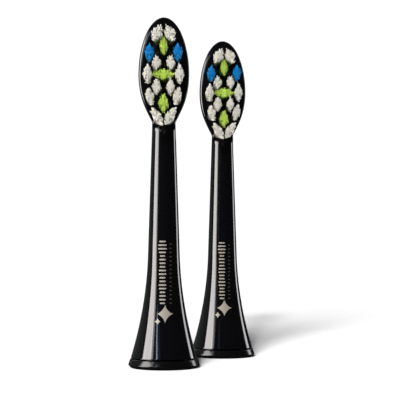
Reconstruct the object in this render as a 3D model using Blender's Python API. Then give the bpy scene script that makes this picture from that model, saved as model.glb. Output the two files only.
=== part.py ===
"""Pair of click-on brush heads for a sonic toothbrush, standing upright on their foot rings.

Frame: metres, +Z up, bristles towards -Y. The origin lies on the standing surface, at the
centre of the pair's bounding box. Each head is a hollow moulded body with a tufted plate,
a D-bored drive socket pressed up its neck, a leaf spring that latches the drive shaft,
a foot ring that snaps into the body's foot and turns there, and seventeen bristle tufts.
"""

import math
from collections import namedtuple

import bmesh
import bpy
from mathutils import Vector

MM = 0.001

# Where the two heads stand: the right-hand head is this far to the right of and behind the left.
PAIR_ACROSS = 15.4 * MM
PAIR_BEHIND = 30.0 * MM

# Outer shape of a head.
HEAD_HEIGHT = 84.0 * MM
PLATE_HALF_WIDTH = 6.1 * MM
PLATE_UPPER = 13.7 * MM  # from the plate's widest height up to its tip
PLATE_LOWER = 11.5 * MM  # from the widest height down to where its sides would meet
PLATE_FRONT = 2.4 * MM  # bristle face, in front of the axis
PLATE_BACK = 2.2 * MM  # crown of the back, behind the axis
NECK_RADIUS = 2.8 * MM
WAIST_RADIUS = 3.83 * MM  # where the neck's straight taper meets the flare
WAIST_HEIGHT = 27.0 * MM
FOOT_RADIUS = 7.95 * MM  # the body's lower edge

# Hollow foot and drive socket.
FOOT_WALL = 1.7 * MM
RECESS_TOP_HEIGHT = 12.7 * MM
RECESS_TOP_WALL = 1.0 * MM
SHAFT_RADIUS = 1.75 * MM
SHAFT_FLAT = 1.3 * MM  # distance of the shaft's flat from its axis
SHAFT_FIT = 0.1 * MM
SOCKET_WALL = 0.8 * MM
SOCKET_LENGTH = 18.0 * MM
SOCKET_END_WALL = 1.5 * MM
FLANGE_THICKNESS = 1.4 * MM
SEAT_GAP = 0.3 * MM

# Foot ring.
RING_HEIGHT = 2.1 * MM
RING_OVERHANG = 0.65 * MM  # how far the ring stands out past the body's lower edge
SEAM_GAP = 0.3 * MM
SPIGOT_RISE = 3.1 * MM
SPIGOT_WALL = 0.8 * MM
SPIGOT_FIT = 0.15 * MM
BEAD = 0.3 * MM
EDGE_CHAMFER = 0.25 * MM
FOOT_CHAMFER = 0.5 * MM
NOTCH_WIDTH = 3.0 * MM
NOTCH_DEPTH = 0.8 * MM

# Latch spring, a bowed steel leaf behind the shaft's flat.
LEAF_THICKNESS = 0.25 * MM
LEAF_WIDTH = 1.9 * MM
LEAF_BITE = 0.1 * MM  # how far the bow stands in front of the shaft's flat
LEAF_BOW = 0.8 * MM
LEAF_SIDE_GAP = 0.2 * MM
LEAF_END_GAP = 0.5 * MM
LEAF_FREE_GAP = 2.8 * MM  # room under the leaf's moving end

# Tufts.
HOLE_RADIUS = 0.95 * MM
HOLE_DEPTH = 3.0 * MM
TUFT_FIT = 0.1 * MM
BRISTLE_HEIGHT = 9.0 * MM
TIP_BRISTLE_HEIGHT = 10.0 * MM
CORE_BRISTLE_HEIGHT = 8.6 * MM

# Facets.
BODY_SIDES = 28
TIP_ARC = 84  # the plate's sections go this far round its end, in degrees, where a face closes it
TUFT_SIDES = 8
HOLE_SIDES = 10

# How the section changes from the round neck to the plate.
FRONT_STEP = 2.0 * MM  # height over which the neck's front drops to the bristle face
BACK_STEP = 12.0 * MM
STEP_START = 1.6 * MM  # the step starts this far below the plate's lowest tufts
EDGE_POWER = 8.0  # superellipse power: high is flat with tight edges
BACK_POWER = 3.0
NECK_BLEND = 2.2 * MM  # neck and plate round into each other where they differ by less than this
LEAF_SHAPE_POWER = 1.4  # power of a tuft's leaf-shaped tip, between diamond and ellipse

# Heights and radii that follow from the values above.
PLATE_HEIGHT = HEAD_HEIGHT - PLATE_UPPER
FOOT_HEIGHT = RING_HEIGHT + SEAM_GAP
SPIGOT_RADIUS = FOOT_RADIUS - FOOT_WALL - SPIGOT_FIT
SPIGOT_TOP = RING_HEIGHT + SPIGOT_RISE
BEAD_HEIGHT = SPIGOT_TOP - 3 * BEAD
SOCKET_BOTTOM = RECESS_TOP_HEIGHT - SEAT_GAP - FLANGE_THICKNESS
SOCKET_TOP = SOCKET_BOTTOM + SOCKET_LENGTH
SOCKET_BORE = SHAFT_RADIUS + SHAFT_FIT
SOCKET_RADIUS = SOCKET_BORE + SOCKET_WALL
SLOT_TOP = SOCKET_TOP - SOCKET_END_WALL
SLOT_BOTTOM = SOCKET_BOTTOM + FLANGE_THICKNESS + EDGE_CHAMFER
LEAF_TOP = SLOT_TOP - LEAF_END_GAP
LEAF_LENGTH = LEAF_TOP - SLOT_BOTTOM - LEAF_FREE_GAP
LEAF_BACK = SHAFT_FLAT - LEAF_BITE + LEAF_BOW  # the leaf's front face at its hinge end

Tuft = namedtuple("Tuft", "across up wide tall lean colour height")

# Tufts from the tip down, one row a line. across and wide are shares of the plate's half width,
# up is a share of the plate's upper or lower length, tall is a share of its upper length, and
# lean turns the tip's long axis towards the plate's middle, in degrees.
TUFT_ROWS = (
    Tuft(0.246, 0.565, 0.405, 0.285, 26, "white", TIP_BRISTLE_HEIGHT),
    Tuft(0.0, 0.376, 0.30, 0.305, 0, "green", CORE_BRISTLE_HEIGHT),
    Tuft(0.541, 0.257, 0.315, 0.290, 0, "blue", BRISTLE_HEIGHT),
    Tuft(0.270, 0.086, 0.325, 0.240, 0, "white", BRISTLE_HEIGHT),
    Tuft(0.607, -0.131, 0.33, 0.335, 0, "white", BRISTLE_HEIGHT),
    Tuft(0.0, -0.128, 0.82, 0.172, 0, "green", CORE_BRISTLE_HEIGHT),
    Tuft(0.262, -0.386, 0.31, 0.265, 0, "white", BRISTLE_HEIGHT),
    Tuft(0.516, -0.580, 0.30, 0.320, -14, "white", BRISTLE_HEIGHT),
    Tuft(0.0, -0.712, 0.36, 0.320, 0, "green", CORE_BRISTLE_HEIGHT),
    Tuft(0.246, -0.979, 0.34, 0.355, -33, "white", BRISTLE_HEIGHT),
)
LOWEST_TUFT_HEIGHT = PLATE_HEIGHT + TUFT_ROWS[-1].up * PLATE_LOWER

COLOURS = {
    "black_gloss": ((0.008, 0.008, 0.009, 1.0), 0.12, 0.0),
    "socket_white": ((0.75, 0.75, 0.72, 1.0), 0.40, 0.0),
    "spring_steel": ((0.60, 0.60, 0.58, 1.0), 0.25, 1.0),
    "white": ((0.86, 0.84, 0.77, 1.0), 0.50, 0.0),
    "green": ((0.50, 0.72, 0.15, 1.0), 0.50, 0.0),
    "blue": ((0.02, 0.32, 0.72, 1.0), 0.50, 0.0),
}


def smoothstep(start, end, value):
    """0 below start, 1 above end and an S-curve between."""
    share = min(1.0, max(0.0, (value - start) / (end - start)))
    return share * share * (3 - 2 * share)


def mix(first, second, share):
    return first + (second - first) * share


def material(name):
    """The named material, made on first use."""
    made = bpy.data.materials.get(name)
    if made is None:
        colour, roughness, metallic = COLOURS[name]
        made = bpy.data.materials.new(name)
        made.use_nodes = True
        shader = made.node_tree.nodes["Principled BSDF"]
        shader.inputs["Base Color"].default_value = colour
        shader.inputs["Roughness"].default_value = roughness
        shader.inputs["Metallic"].default_value = metallic
    return made


def new_object(name, mesh, finish, head, place=(0, 0, 0)):
    """Puts a mesh into the scene under its head's empty, smooth where it is round."""
    mesh.shade_smooth()
    mesh.set_sharp_from_angle(angle=math.radians(35))
    mesh.materials.append(material(finish))
    made = bpy.data.objects.new(name, mesh)
    bpy.context.collection.objects.link(made)
    made.parent = head
    made.location = place
    return made


def lofted(name, rings, closed=False):
    """A mesh through rings of equally many points. An open loft is capped at both ends, and a
    closed one joins its last ring to its first."""
    bm = bmesh.new()
    loops = [[bm.verts.new(point) for point in ring] for ring in rings]
    pairs = list(zip(loops, loops[1:]))
    if closed:
        pairs.append((loops[-1], loops[0]))
    else:
        bm.faces.new(reversed(loops[0]))
        bm.faces.new(loops[-1])
    for lower, upper in pairs:
        for k in range(len(lower)):
            after = (k + 1) % len(lower)
            bm.faces.new((lower[k], lower[after], upper[after], upper[k]))
    bmesh.ops.recalc_face_normals(bm, faces=bm.faces)
    mesh = bpy.data.meshes.new(name)
    bm.to_mesh(mesh)
    bm.free()
    return mesh


def circle(radius, height, sides=BODY_SIDES):
    """Points of a level circle about the Z axis."""
    turns = (2 * math.pi * k / sides for k in range(sides))
    return [Vector((radius * math.cos(t), radius * math.sin(t), height)) for t in turns]


def cut(target, cutter):
    """Takes a closed cutter mesh out of the target with a Boolean that stays live."""
    hidden = bpy.data.objects.new(f"{target.name}_{cutter.name}", cutter)
    bpy.context.collection.objects.link(hidden)
    hidden.parent = target
    hidden.hide_render = True
    hidden.display_type = "WIRE"
    boolean = target.modifiers.new(cutter.name, "BOOLEAN")
    boolean.operation = "DIFFERENCE"
    boolean.solver = "EXACT"
    boolean.object = hidden


def block(name, low, high):
    """A box mesh between two corners."""
    corners = [(low[0], low[1]), (high[0], low[1]), (high[0], high[1]), (low[0], high[1])]
    return lofted(name, [[Vector((x, y, z)) for x, y in corners] for z in (low[2], high[2])])


def neck_radius(height):
    """Outer radius of the round neck and flare: a straight taper, and below the waist a parabola
    that is added to it and reaches the foot's radius at the body's lower edge."""
    slope = (WAIST_RADIUS - NECK_RADIUS) / (LOWEST_TUFT_HEIGHT - WAIST_HEIGHT)
    straight = max(NECK_RADIUS, NECK_RADIUS + slope * (LOWEST_TUFT_HEIGHT - height))
    if height >= WAIST_HEIGHT:
        return straight
    foot_straight = NECK_RADIUS + slope * (LOWEST_TUFT_HEIGHT - FOOT_HEIGHT)
    share = (WAIST_HEIGHT - height) / (WAIST_HEIGHT - FOOT_HEIGHT)
    return straight + (FOOT_RADIUS - foot_straight) * share**2


def plate_half_width(height):
    """Half width of the plate's egg-shaped outline, 0 outside it."""
    length = PLATE_UPPER if height > PLATE_HEIGHT else PLATE_LOWER
    share = (height - PLATE_HEIGHT) / length
    return PLATE_HALF_WIDTH * math.sqrt(max(0.0, 1 - share * share))


def half_width(height):
    """Half width of the head: the neck and the plate with a small fillet between them."""
    plate = plate_half_width(height)
    if height >= PLATE_HEIGHT:
        return plate
    neck = neck_radius(height)
    nearness = max(0.0, 1 - abs(neck - plate) / NECK_BLEND)
    return max(neck, plate) + nearness**2 * NECK_BLEND / 4


def plate_depth(height, across, front):
    """Distance of the plate's face from the middle plane, at a share across of its half width."""
    rise = max(0.0, (height - PLATE_HEIGHT) / PLATE_UPPER)
    edge = math.sqrt((1 - rise * rise) * across * across + rise * rise)
    power, depth = (EDGE_POWER, PLATE_FRONT) if front else (BACK_POWER, PLATE_BACK)
    return depth * max(0.0, 1 - min(1.0, edge) ** power) ** (1 / power)


def body_section(height):
    """Outer points of the head at a height, anticlockwise from +X."""
    step = LOWEST_TUFT_HEIGHT - HOLE_RADIUS - STEP_START
    width = half_width(height)
    points = []
    for k in range(BODY_SIDES):
        turn = 2 * math.pi * k / BODY_SIDES
        across, side = math.cos(turn), math.sin(turn)
        front = side < 0
        plateness = smoothstep(step, step + (FRONT_STEP if front else BACK_STEP), height)
        flat = plate_depth(height, across, front)
        depth = mix(neck_radius(height) * abs(side), flat, plateness)
        points.append(Vector((width * across, -depth if front else depth, height)))
    return points


def body_heights():
    """Heights of the body's outer sections, closest where the outline curves most."""
    step = LOWEST_TUFT_HEIGHT - HOLE_RADIUS - STEP_START
    flare = [mix(FOOT_HEIGHT + EDGE_CHAMFER, WAIST_HEIGHT, (k / 6) ** 1.3) for k in range(7)]
    neck = [mix(WAIST_HEIGHT, step, k / 3) for k in (1, 2, 3)]
    shoulder = [mix(step, PLATE_HEIGHT, k / 10) for k in range(1, 11)]
    arcs = [math.radians(TIP_ARC * k / 8) for k in range(1, 9)]
    return flare + neck + shoulder + [PLATE_HEIGHT + PLATE_UPPER * math.sin(a) for a in arcs]


def recess_top_radius():
    """Radius of the foot's hollow where it ends in the shoulder that the socket's flange seats on."""
    return neck_radius(RECESS_TOP_HEIGHT) - RECESS_TOP_WALL


def recess_outline():
    """Radius and height of the foot's inside, from the neck's blind end down to the lower edge."""
    bore = SOCKET_RADIUS + SEAT_GAP
    entry = SPIGOT_RADIUS + SPIGOT_FIT
    groove = entry + BEAD + SPIGOT_FIT / 2
    above_ring = SPIGOT_TOP + SEAT_GAP
    return (
        (bore, SOCKET_TOP + SEAT_GAP),
        (bore, RECESS_TOP_HEIGHT),
        (recess_top_radius(), RECESS_TOP_HEIGHT),
        (min(entry, neck_radius(above_ring) - RECESS_TOP_WALL), above_ring),
        (entry, BEAD_HEIGHT + 2 * BEAD),
        (groove, BEAD_HEIGHT + BEAD),
        (groove, BEAD_HEIGHT - BEAD),
        (entry, BEAD_HEIGHT - 2 * BEAD),
        (entry, FOOT_HEIGHT),
    )


def make_brush_body(side, head):
    """The hollow moulding: flared foot, neck and plate, with a blind hole for each tuft."""
    rings = [circle(radius, height) for radius, height in recess_outline()]
    rings.append(circle(FOOT_RADIUS - EDGE_CHAMFER, FOOT_HEIGHT))
    rings += [body_section(height) for height in body_heights()]
    body = new_object(f"{side}_brush_body", lofted("body", rings), "black_gloss", head)
    holes = bmesh.new()
    for tuft in placed_tufts():
        front = -PLATE_FRONT - PLATE_BACK
        back = -PLATE_FRONT + HOLE_DEPTH
        ends = [
            [Vector((tuft.across + p.x, y, tuft.up + p.y)) for p in circle(HOLE_RADIUS, 0, HOLE_SIDES)]
            for y in (front, back)
        ]
        hole = lofted("hole", ends)
        holes.from_mesh(hole)
        bpy.data.meshes.remove(hole)
    cutter = bpy.data.meshes.new("tuft_holes")
    holes.to_mesh(cutter)
    holes.free()
    cut(body, cutter)


def placed_tufts():
    """Every tuft with its place and its tip's size in metres: across from the axis, up from the
    standing surface. A row off the axis gives a mirrored pair."""
    tufts = []
    for row in TUFT_ROWS:
        length = PLATE_UPPER if row.up > 0 else PLATE_LOWER
        for sign in (-1, 1) if row.across else (1,):
            tufts.append(
                row._replace(
                    across=sign * row.across * PLATE_HALF_WIDTH,
                    up=PLATE_HEIGHT + row.up * length,
                    wide=row.wide * PLATE_HALF_WIDTH,
                    tall=row.tall * PLATE_UPPER,
                    lean=sign * row.lean,
                )
            )
    return tufts


def leaf_point(tuft, turn):
    """Point of a tuft's leaf-shaped tip, from the tuft's middle, as across and up."""
    share = 2 / LEAF_SHAPE_POWER
    c, s = math.cos(turn), math.sin(turn)
    across = math.copysign(abs(c) ** share, c) * tuft.wide / 2
    up = math.copysign(abs(s) ** share, s) * tuft.tall / 2
    lean = math.radians(tuft.lean)
    return (
        across * math.cos(lean) - up * math.sin(lean),
        across * math.sin(lean) + up * math.cos(lean),
    )


def make_tuft(side, number, tuft, head):
    """One bundle of bristles: round in its hole, splayed to a leaf shape at its cut tips."""
    radius = HOLE_RADIUS - TUFT_FIT
    root = -PLATE_FRONT + HOLE_DEPTH - TUFT_FIT
    tip = -PLATE_FRONT - tuft.height
    dome = tip + (radius / 2)
    rings = []
    for y, splay, size in (
        (root, 0.0, 1.0),
        (-PLATE_FRONT, 0.0, 1.0),
        (mix(-PLATE_FRONT, dome, 0.5), 0.45, 1.0),
        (dome, 1.0, 1.0),
        (tip, 1.0, 0.55),
    ):
        ring = []
        for k in range(TUFT_SIDES):
            turn = 2 * math.pi * k / TUFT_SIDES
            across, up = leaf_point(tuft, turn)
            across = mix(radius * math.cos(turn), across, splay) * size
            up = mix(radius * math.sin(turn), up, splay) * size
            ring.append(Vector((tuft.across + across, y, tuft.up + up)))
        rings.append(ring)
    name = f"{side}_tuft_{number:02d}_{tuft.colour}"
    new_object(name, lofted(name, rings), tuft.colour, head)


def make_drive_socket(side, head):
    """The white insert in the neck: flange, D-shaped blind bore and a slot for the leaf spring."""
    flange = recess_top_radius() - SEAT_GAP
    outline = (
        (flange, SOCKET_BOTTOM),
        (flange, SOCKET_BOTTOM + FLANGE_THICKNESS),
        (SOCKET_RADIUS, SOCKET_BOTTOM + FLANGE_THICKNESS),
        (SOCKET_RADIUS, SOCKET_TOP - EDGE_CHAMFER),
        (SOCKET_RADIUS - EDGE_CHAMFER, SOCKET_TOP),
    )
    rings = [circle(radius, height) for radius, height in outline]
    socket = new_object(f"{side}_drive_socket", lofted("socket", rings), "socket_white", head)
    flat = SHAFT_FLAT + SHAFT_FIT
    bore = [
        [Vector((p.x, min(p.y, flat), height)) for p in circle(SOCKET_BORE, 0)]
        for height in (SOCKET_BOTTOM - MM, SLOT_TOP)
    ]
    cut(socket, lofted("shaft_bore", bore))
    slot_side = LEAF_WIDTH / 2 + LEAF_SIDE_GAP
    low = (-slot_side, flat / 2, SLOT_BOTTOM)
    high = (slot_side, SOCKET_RADIUS + MM, SLOT_TOP)
    cut(socket, block("leaf_slot", low, high))


def make_latch_spring(side, head):
    """The steel leaf, bowed forwards to press on the shaft's flat. Its origin is on its hinge line
    at the leaf's upper end."""
    steps = 10
    sections = []
    for k in range(steps + 1):
        share = k / steps
        front = -LEAF_BOW * math.sin(math.pi * share) ** 2
        down = -LEAF_LENGTH * share
        half = LEAF_WIDTH / 2
        sections.append(
            [
                Vector((half, front, down)),
                Vector((half, front + LEAF_THICKNESS, down)),
                Vector((-half, front + LEAF_THICKNESS, down)),
                Vector((-half, front, down)),
            ]
        )
    place = (0, LEAF_BACK, LEAF_TOP)
    new_object(f"{side}_latch_spring", lofted("leaf", sections), "spring_steel", head, place)


def make_foot_ring(side, head):
    """The ring the head stands on: an outer band that carries on the flare, and a spigot whose
    bead snaps into the groove inside the foot. A pry notch is cut in its top edge at the back."""
    inner = SPIGOT_RADIUS - SPIGOT_WALL
    band = FOOT_RADIUS + RING_OVERHANG
    outline = (
        (inner + EDGE_CHAMFER, 0),
        (band - FOOT_CHAMFER, 0),
        (band - FOOT_CHAMFER / 4, FOOT_CHAMFER / 3),
        (band, FOOT_CHAMFER * 1.2),
        (FOOT_RADIUS + EDGE_CHAMFER / 2, RING_HEIGHT - EDGE_CHAMFER),
        (FOOT_RADIUS - EDGE_CHAMFER / 2, RING_HEIGHT),
        (SPIGOT_RADIUS, RING_HEIGHT),
        (SPIGOT_RADIUS, BEAD_HEIGHT - BEAD),
        (SPIGOT_RADIUS + BEAD, BEAD_HEIGHT),
        (SPIGOT_RADIUS, BEAD_HEIGHT + BEAD),
        (SPIGOT_RADIUS - EDGE_CHAMFER, SPIGOT_TOP),
        (inner, SPIGOT_TOP),
        (inner, EDGE_CHAMFER),
    )
    rings = [circle(radius, height) for radius, height in outline]
    ring = new_object(f"{side}_foot_ring", lofted("ring", rings, closed=True), "black_gloss", head)
    low = (-NOTCH_WIDTH / 2, (SPIGOT_RADIUS + FOOT_RADIUS) / 2, RING_HEIGHT - NOTCH_DEPTH)
    high = (NOTCH_WIDTH / 2, band + MM, RING_HEIGHT + MM)
    cut(ring, block("pry_notch", low, high))


def make_head(side, place):
    """One complete brush head, its axis at place."""
    head = bpy.data.objects.new(f"{side}_head", None)
    bpy.context.collection.objects.link(head)
    head.location = place
    make_brush_body(side, head)
    make_drive_socket(side, head)
    make_latch_spring(side, head)
    make_foot_ring(side, head)
    for number, tuft in enumerate(placed_tufts(), 1):
        make_tuft(side, number, tuft, head)


def main():
    for obj in list(bpy.data.objects):
        bpy.data.objects.remove(obj, do_unlink=True)
    reach = PLATE_FRONT + TIP_BRISTLE_HEIGHT
    widest = FOOT_RADIUS + RING_OVERHANG
    # The bristles reach further forwards than the foot does backwards, so the axes' midpoint
    # lies behind the bounding box's centre by half the difference.
    midpoint = (reach - widest) / 2
    make_head("left", (-PAIR_ACROSS / 2, midpoint - PAIR_BEHIND / 2, 0))
    make_head("right", (PAIR_ACROSS / 2, midpoint + PAIR_BEHIND / 2, 0))
    bpy.context.view_layer.update()


main()
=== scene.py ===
"""Two click-on toothbrush heads standing in a white studio.

Each head gets a finely curved body, a foot ring, a drive socket, a latch spring, wire anchors,
bundles of nylon bristles and a printed motif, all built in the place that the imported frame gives.
Lengths inside the classes are millimetres from the head's own axis and from the standing surface,
with the bristles towards -Y. Meshes and studio distances are in metres.
"""

import logging
import math
from dataclasses import dataclass
from enum import Enum
from functools import cache

import bmesh
import bpy
import numpy as np
from mathutils import Matrix, Quaternion, Vector


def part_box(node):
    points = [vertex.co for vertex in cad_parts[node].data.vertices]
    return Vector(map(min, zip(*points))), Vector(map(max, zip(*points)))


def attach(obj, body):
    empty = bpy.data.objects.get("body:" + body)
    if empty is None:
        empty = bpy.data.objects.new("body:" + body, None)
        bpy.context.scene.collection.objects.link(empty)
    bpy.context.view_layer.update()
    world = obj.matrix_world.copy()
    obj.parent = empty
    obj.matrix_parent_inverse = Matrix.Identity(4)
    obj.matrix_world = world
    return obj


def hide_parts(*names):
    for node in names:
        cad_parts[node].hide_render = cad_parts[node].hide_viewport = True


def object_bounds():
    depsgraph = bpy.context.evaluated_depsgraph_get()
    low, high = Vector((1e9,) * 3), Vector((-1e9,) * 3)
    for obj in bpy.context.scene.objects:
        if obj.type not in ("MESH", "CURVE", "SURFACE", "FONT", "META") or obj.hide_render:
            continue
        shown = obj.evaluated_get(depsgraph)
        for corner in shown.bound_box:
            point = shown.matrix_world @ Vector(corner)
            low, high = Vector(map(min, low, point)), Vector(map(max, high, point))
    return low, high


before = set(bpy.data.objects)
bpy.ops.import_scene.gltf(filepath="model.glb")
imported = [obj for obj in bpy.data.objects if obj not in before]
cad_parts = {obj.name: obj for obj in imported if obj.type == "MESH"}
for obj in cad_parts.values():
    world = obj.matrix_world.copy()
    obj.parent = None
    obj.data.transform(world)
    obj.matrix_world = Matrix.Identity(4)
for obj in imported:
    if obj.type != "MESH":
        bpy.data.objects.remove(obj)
cad_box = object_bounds()

LOG = logging.getLogger("brush_heads")
MM = 0.001
GOLDEN_ANGLE = math.pi * (3 - math.sqrt(5))
MIX_FIRST, MIX_SECOND, MIX_RESULT = 6, 7, 2  # a Mix node's colour sockets


class Side(Enum):
    """Which of the two heads, as its nodes and bodies are named."""

    LEFT = "left"
    RIGHT = "right"


class BristleColour(Enum):
    """The colours that the tufts come in, as their nodes are named."""

    WHITE = "white"
    GREEN = "green"
    BLUE = "blue"


# ---------------------------------------------------------------- node helpers


@dataclass(frozen=True)
class Field:
    """A socket in a node tree that plain arithmetic extends with Math nodes."""

    tree: bpy.types.NodeTree
    socket: bpy.types.NodeSocket

    def math(self, operation: str, *others: "Field | float") -> "Field":
        """Feeds this value and others through a Math node.

        Args:
            operation: the Math node's operation, such as "ADD".
            *others: its further inputs, as fields or plain numbers.

        Returns:
            The node's result.
        """
        node = self.tree.nodes.new("ShaderNodeMath")
        node.operation = operation
        for socket, value in zip(node.inputs, (self, *others)):
            if isinstance(value, Field):
                self.tree.links.new(value.socket, socket)
            else:
                socket.default_value = value
        return Field(self.tree, node.outputs[0])

    def __add__(self, other: "Field | float") -> "Field":
        """This value plus another."""
        return self.math("ADD", other)

    def __sub__(self, other: "Field | float") -> "Field":
        """This value minus another."""
        return self.math("SUBTRACT", other)

    def __mul__(self, other: "Field | float") -> "Field":
        """This value times another."""
        return self.math("MULTIPLY", other)

    def __truediv__(self, other: "Field | float") -> "Field":
        """This value divided by another."""
        return self.math("DIVIDE", other)

    def __pow__(self, other: "Field | float") -> "Field":
        """This value to a power."""
        return self.math("POWER", other)


@dataclass(frozen=True)
class TreeBuilder:
    """Adds nodes to a tree and wires them by socket name."""

    tree: bpy.types.NodeTree

    def add(self, kind: str, inputs: dict | None = None, **settings: object) -> bpy.types.Node:
        """Adds one node.

        Args:
            kind: the node's type name.
            inputs: input name or index to a Field, a socket or a plain value.
            **settings: properties of the node.

        Returns:
            The new node.
        """
        node = self.tree.nodes.new(kind)
        for name, value in settings.items():
            setattr(node, name, value)
        self.wire(node, inputs or {})
        return node

    def wire(self, node: bpy.types.Node, inputs: dict) -> None:
        """Feeds a node's inputs.

        Args:
            node: the node.
            inputs: input name or index to a Field, a socket or a plain value.
        """
        for key, value in inputs.items():
            if isinstance(value, Field):
                value = value.socket
            if isinstance(value, bpy.types.NodeSocket):
                self.tree.links.new(value, node.inputs[key])
            else:
                node.inputs[key].default_value = value

    def field(self, kind: str, output: str | int = 0, inputs: dict | None = None,
              **settings: object) -> Field:
        """Adds one node and gives one of its outputs as a Field.

        Args:
            kind: the node's type name.
            output: the output's name or index.
            inputs: as in add.
            **settings: properties of the node.

        Returns:
            The output.
        """
        return Field(self.tree, self.add(kind, inputs, **settings).outputs[output])


def new_interface(tree: bpy.types.NodeTree, inputs: dict[str, str],
                  outputs: dict[str, str]) -> dict[str, str]:
    """Gives a node tree its named sockets.

    Args:
        tree: the group to give them to.
        inputs: socket name to socket type.
        outputs: socket name to socket type.

    Returns:
        Input name to identifier.
    """
    identifiers = {}
    for in_out, sockets in (("INPUT", inputs), ("OUTPUT", outputs)):
        for name, kind in sockets.items():
            made = tree.interface.new_socket(name, in_out=in_out, socket_type=kind)
            if in_out == "INPUT":
                identifiers[name] = made.identifier
    return identifiers


# ---------------------------------------------------------------- mesh helpers


def lofted(name: str, rings: np.ndarray, closed: bool = False) -> bpy.types.Mesh:
    """Skins rings of equally many points into a closed mesh with its faces outwards.

    Args:
        name: the mesh's name.
        rings: points as ring, point, xyz. An end ring of no size becomes one point.
        closed: joins the last ring to the first instead of closing the ends.

    Returns:
        The mesh, shaded smooth except at its edges.
    """
    bm = bmesh.new()
    loops = [[bm.verts.new(point) for point in ring] for ring in rings]
    pairs = list(zip(loops, loops[1:]))
    if closed:
        pairs.append((loops[-1], loops[0]))
    else:
        bm.faces.new(reversed(loops[0]))
        bm.faces.new(loops[-1])
    for lower, upper in pairs:
        for k in range(len(lower)):
            after = (k + 1) % len(lower)
            bm.faces.new((lower[k], lower[after], upper[after], upper[k]))
    bmesh.ops.remove_doubles(bm, verts=bm.verts, dist=1e-7)
    bmesh.ops.recalc_face_normals(bm, faces=bm.faces)
    mesh = bpy.data.meshes.new(name)
    bm.to_mesh(mesh)
    bm.free()
    return smooth(mesh)


def smooth(mesh: bpy.types.Mesh, crease: float = 38.0) -> bpy.types.Mesh:
    """Shades a mesh smooth, with sharp edges where it turns by more than crease degrees."""
    mesh.shade_smooth()
    mesh.set_sharp_from_angle(angle=math.radians(crease))
    return mesh


def turned(outline: list[tuple[float, float]], sides: int) -> np.ndarray:
    """Turns an outline about the Z axis.

    Args:
        outline: radius and height of each point.
        sides: points on each ring.

    Returns:
        The rings that lofted skins.
    """
    turns = np.arange(sides) * 2 * math.pi / sides
    circle = np.stack([np.cos(turns), np.sin(turns)], axis=1)
    return np.array([np.c_[circle * r, np.full(sides, z)] for r, z in outline])


def filleted(corners: list[tuple[float, float, float]], closed: bool = False,
             steps: int = 6) -> list[tuple[float, float]]:
    """Rounds the corners of an outline.

    Args:
        corners: two coordinates of each corner and its fillet radius.
        closed: whether the outline comes back to its start.
        steps: points on each fillet, less one.

    Returns:
        The outline's points.
    """
    points = []
    for k, (x, y, radius) in enumerate(corners):
        at_end = not closed and k in (0, len(corners) - 1)
        if radius <= 0 or at_end:
            points.append((x, y))
            continue
        here = Vector((x, y))
        back = Vector(corners[k - 1][:2]) - here
        on = Vector(corners[(k + 1) % len(corners)][:2]) - here
        half = back.angle(on) / 2
        reach = min(radius / math.tan(half), 0.49 * back.length, 0.49 * on.length)
        start, end = here + back.normalized() * reach, here + on.normalized() * reach
        for step in range(steps + 1):
            share = step / steps
            first, second = start.lerp(here, share), here.lerp(end, share)
            points.append(tuple(first.lerp(second, share)))
    return points


def prism(outline: list[tuple[float, float]], start: float, end: float) -> np.ndarray:
    """Draws an outline of X and Z along Y.

    Args:
        outline: the outline's points.
        start: Y of its first end.
        end: Y of its second end.

    Returns:
        The rings that lofted skins.
    """
    return np.array([[(x, y, z) for x, z in outline] for y in (start, end)])


def new_piece(name: str, mesh: bpy.types.Mesh, finish: bpy.types.Material) -> bpy.types.Object:
    """Puts a mesh into the scene as a piece with one material.

    Args:
        name: the piece's name.
        mesh: its mesh, in place.
        finish: its material.

    Returns:
        The piece.
    """
    mesh.name = name
    mesh.materials.clear()
    mesh.materials.append(finish)
    piece = bpy.data.objects.new(name, mesh)
    bpy.context.scene.collection.objects.link(piece)
    return piece


def settle(piece: bpy.types.Object, body: str, slot: str | None = None,
           *nodes: str) -> bpy.types.Object:
    """Hands a finished piece to the body that it moves with, and reports it.

    Args:
        piece: the piece, in place.
        body: the body that it rides on.
        slot: not used.
        *nodes: the nodes of the frame that it stands for.

    Returns:
        The piece.
    """
    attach(piece, body)
    if nodes:
        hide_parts(*nodes)
    LOG.info("%s: %d faces on %s", piece.name, len(piece.data.polygons), body)
    return piece


def evaluated(piece: bpy.types.Object) -> bpy.types.Mesh:
    """The plain mesh that a piece's modifiers give."""
    graph = bpy.context.evaluated_depsgraph_get()
    return bpy.data.meshes.new_from_object(
        piece.evaluated_get(graph), preserve_all_data_layers=True, depsgraph=graph
    )


def carved(mesh: bpy.types.Mesh, *cutters: bpy.types.Mesh) -> bpy.types.Mesh:
    """Cuts closed meshes out of a closed mesh.

    Args:
        mesh: what is cut.
        *cutters: what is taken away.

    Returns:
        The cut mesh, shaded again.
    """
    block = bpy.data.objects.new("block", mesh)
    tools = [bpy.data.objects.new("tool", cutter) for cutter in cutters]
    for made in (block, *tools):
        bpy.context.scene.collection.objects.link(made)
    for tool in tools:
        cut = block.modifiers.new("cut", "BOOLEAN")
        cut.operation = "DIFFERENCE"
        cut.solver = "EXACT"
        cut.object = tool
    result = evaluated(block)
    for made in (block, *tools):
        bpy.data.objects.remove(made)
    return smooth(result)


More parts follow.
